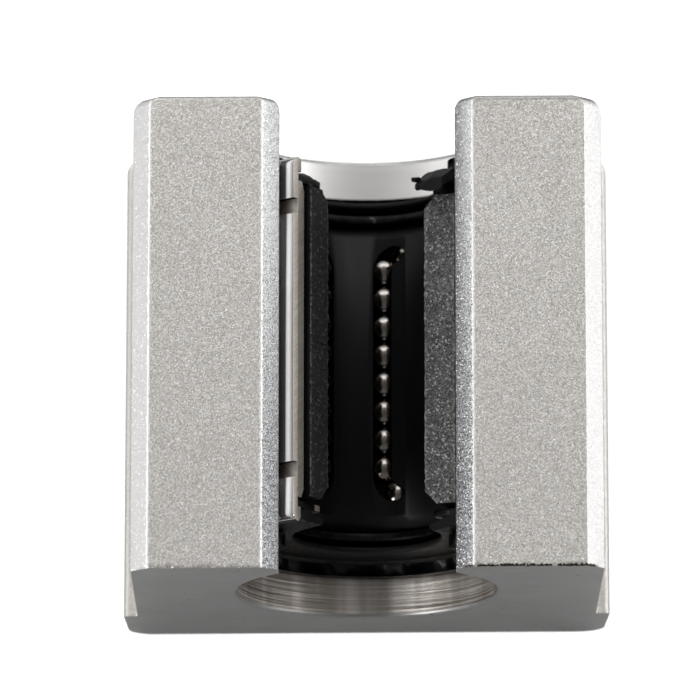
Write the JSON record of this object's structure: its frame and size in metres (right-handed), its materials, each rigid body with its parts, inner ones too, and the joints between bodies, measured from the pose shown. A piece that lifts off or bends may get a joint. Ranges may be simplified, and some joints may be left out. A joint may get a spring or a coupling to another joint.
{
  "type": "linear ball bushing unit",
  "caption": "Open linear ball bushing with recirculating balls, held by circlips in a slotted aluminium pillow block.",
  "frame": {"origin": "on the shaft's axis, half way along the block", "axes": "+Y along the shaft, +Z out of the open slot, +X to the right when looking along +Y"},
  "size_m": [0.04, 0.0386, 0.0276],
  "materials": {
    "block_aluminium": "bead-blasted and clear anodised, machined end faces and bore",
    "ground_steel": "hardened bearing steel, ground outside, rough-cut slot faces",
    "ball_steel": "polished bearing steel",
    "ring_steel": "stamped steel",
    "oxide_steel": "black oxide",
    "cage_plastic": "moulded black acetal, rough slot faces",
    "seal_rubber": "black nitrile rubber"
  },
  "bodies": {
    "block": {"housing": "block_aluminium", "circlip_front": "oxide_steel", "circlip_rear": "oxide_steel"},
    "set_screw": {"set_screw": "oxide_steel"},
    "bushing": {"outer_sleeve": "ground_steel", "ball_cage": "cage_plastic", "end_ring_front": "ring_steel", "end_ring_rear": "ring_steel", "end_seal_front": "seal_rubber", "end_seal_rear": "seal_rubber"},
    "loaded_row_lower_right": {"balls_loaded_row_lower_right": "ball_steel"},
    "return_row_lower_right": {"balls_return_row_lower_right": "ball_steel"},
    "turn_front_lower_right": {"balls_turn_front_lower_right": "ball_steel"},
    "turn_rear_lower_right": {"balls_turn_rear_lower_right": "ball_steel"},
    "loaded_row_lower_left": {"balls_loaded_row_lower_left": "ball_steel"},
    "return_row_lower_left": {"balls_return_row_lower_left": "ball_steel"},
    "turn_front_lower_left": {"balls_turn_front_lower_left": "ball_steel"},
    "turn_rear_lower_left": {"balls_turn_rear_lower_left": "ball_steel"},
    "loaded_row_upper_right": {"balls_loaded_row_upper_right": "ball_steel"},
    "return_row_upper_right": {"balls_return_row_upper_right": "ball_steel"},
    "turn_front_upper_right": {"balls_turn_front_upper_right": "ball_steel"},
    "turn_rear_upper_right": {"balls_turn_rear_upper_right": "ball_steel"},
    "loaded_row_upper_left": {"balls_loaded_row_upper_left": "ball_steel"},
    "return_row_upper_left": {"balls_return_row_upper_left": "ball_steel"},
    "turn_front_upper_left": {"balls_turn_front_upper_left": "ball_steel"},
    "turn_rear_upper_left": {"balls_turn_rear_upper_left": "ball_steel"}
  },
  "joints": [
    {"name": "set_screw_travel", "type": "slide", "parent": "block", "child": "set_screw", "axis": [-1, 0, 0], "range_m": [-0.002, 0.00028]},
    {"name": "bushing_turn", "type": "hinge", "parent": "block", "child": "bushing", "pos_m": [0, 0, 0], "axis": [0, 1, 0], "range_deg": [-25.6, 4.4]},
    {"name": "ball_travel", "type": "slide", "parent": "bushing", "child": "loaded_row_lower_right", "axis": [0, 1, 0], "range_m": [-0.00114, 0.00024]},
    {"name": "return_row_travel_lower_right", "type": "slide", "parent": "bushing", "child": "return_row_lower_right", "axis": [0, 1, 0], "range_m": [-0.00025, 0.00115]},
    {"name": "turn_front_roll_lower_right", "type": "hinge", "parent": "bushing", "child": "turn_front_lower_right", "pos_m": [0.00307, -0.0082, -0.00671], "axis": [0.2045, 0, -0.9789], "range_deg": [-40.37, 8.74]},
    {"name": "turn_rear_roll_lower_right", "type": "hinge", "parent": "bushing", "child": "turn_rear_lower_right", "pos_m": [0.00307, 0.0088, -0.00671], "axis": [0.2045, 0, -0.9789], "range_deg": [-40.37, 8.74]},
    {"name": "loaded_row_travel_lower_left", "type": "slide", "parent": "bushing", "child": "loaded_row_lower_left", "axis": [0, 1, 0], "range_m": [-0.00115, 0.00025]},
    {"name": "return_row_travel_lower_left", "type": "slide", "parent": "bushing", "child": "return_row_lower_left", "axis": [0, 1, 0], "range_m": [-0.00025, 0.00115]},
    {"name": "turn_front_roll_lower_left", "type": "hinge", "parent": "bushing", "child": "turn_front_lower_left", "pos_m": [-0.00528, -0.0082, -0.00514], "axis": [-0.5446, 0, -0.8387], "range_deg": [-8.74, 40.37]},
    {"name": "turn_rear_roll_lower_left", "type": "hinge", "parent": "bushing", "child": "turn_rear_lower_left", "pos_m": [-0.00528, 0.0088, -0.00514], "axis": [-0.5446, 0, -0.8387], "range_deg": [-8.74, 40.37]},
    {"name": "loaded_row_travel_upper_right", "type": "slide", "parent": "bushing", "child": "loaded_row_upper_right", "axis": [0, 1, 0], "range_m": [-0.00115, 0.00025]},
    {"name": "return_row_travel_upper_right", "type": "slide", "parent": "bushing", "child": "return_row_upper_right", "axis": [0, 1, 0], "range_m": [-0.00025, 0.00115]},
    {"name": "turn_front_roll_upper_right", "type": "hinge", "parent": "bushing", "child": "turn_front_upper_right", "pos_m": [0.00732, -0.0082, 0.00085], "axis": [0.9432, 0, 0.3322], "range_deg": [-8.74, 40.37]},
    {"name": "turn_rear_roll_upper_right", "type": "hinge", "parent": "bushing", "child": "turn_rear_upper_right", "pos_m": [0.00732, 0.0088, 0.00085], "axis": [0.9432, 0, 0.3322], "range_deg": [-8.74, 40.37]},
    {"name": "loaded_row_travel_upper_left", "type": "slide", "parent": "bushing", "child": "loaded_row_upper_left", "axis": [0, 1, 0], "range_m": [-0.00115, 0.00025]},
    {"name": "return_row_travel_upper_left", "type": "slide", "parent": "bushing", "child": "return_row_upper_left", "axis": [0, 1, 0], "range_m": [-0.00025, 0.00115]},
    {"name": "turn_front_roll_upper_left", "type": "hinge", "parent": "bushing", "child": "turn_front_upper_left", "pos_m": [-0.00652, -0.0082, 0.00344], "axis": [-0.7593, 0, 0.6508], "range_deg": [-40.37, 8.74]},
    {"name": "turn_rear_roll_upper_left", "type": "hinge", "parent": "bushing", "child": "turn_rear_upper_left", "pos_m": [-0.00652, 0.0088, 0.00344], "axis": [-0.7593, 0, 0.6508], "range_deg": [-40.37, 8.74]}
  ],
  "couplings": [
    {"joint": "return_row_travel_lower_right", "follows": "ball_travel", "ratio": -1},
    {"joint": "turn_front_roll_lower_right", "follows": "ball_travel", "rad_per_m": 613.5},
    {"joint": "turn_rear_roll_lower_right", "follows": "ball_travel", "rad_per_m": 613.5},
    {"joint": "loaded_row_travel_lower_left", "follows": "ball_travel", "ratio": 1},
    {"joint": "return_row_travel_lower_left", "follows": "ball_travel", "ratio": -1},
    {"joint": "turn_front_roll_lower_left", "follows": "ball_travel", "rad_per_m": -613.5},
    {"joint": "turn_rear_roll_lower_left", "follows": "ball_travel", "rad_per_m": -613.5},
    {"joint": "loaded_row_travel_upper_right", "follows": "ball_travel", "ratio": 1},
    {"joint": "return_row_travel_upper_right", "follows": "ball_travel", "ratio": -1},
    {"joint": "turn_front_roll_upper_right", "follows": "ball_travel", "rad_per_m": -613.5},
    {"joint": "turn_rear_roll_upper_right", "follows": "ball_travel", "rad_per_m": -613.5},
    {"joint": "loaded_row_travel_upper_left", "follows": "ball_travel", "ratio": 1},
    {"joint": "return_row_travel_upper_left", "follows": "ball_travel", "ratio": -1},
    {"joint": "turn_front_roll_upper_left", "follows": "ball_travel", "rad_per_m": 613.5},
    {"joint": "turn_rear_roll_upper_left", "follows": "ball_travel", "rad_per_m": 613.5}
  ]
}
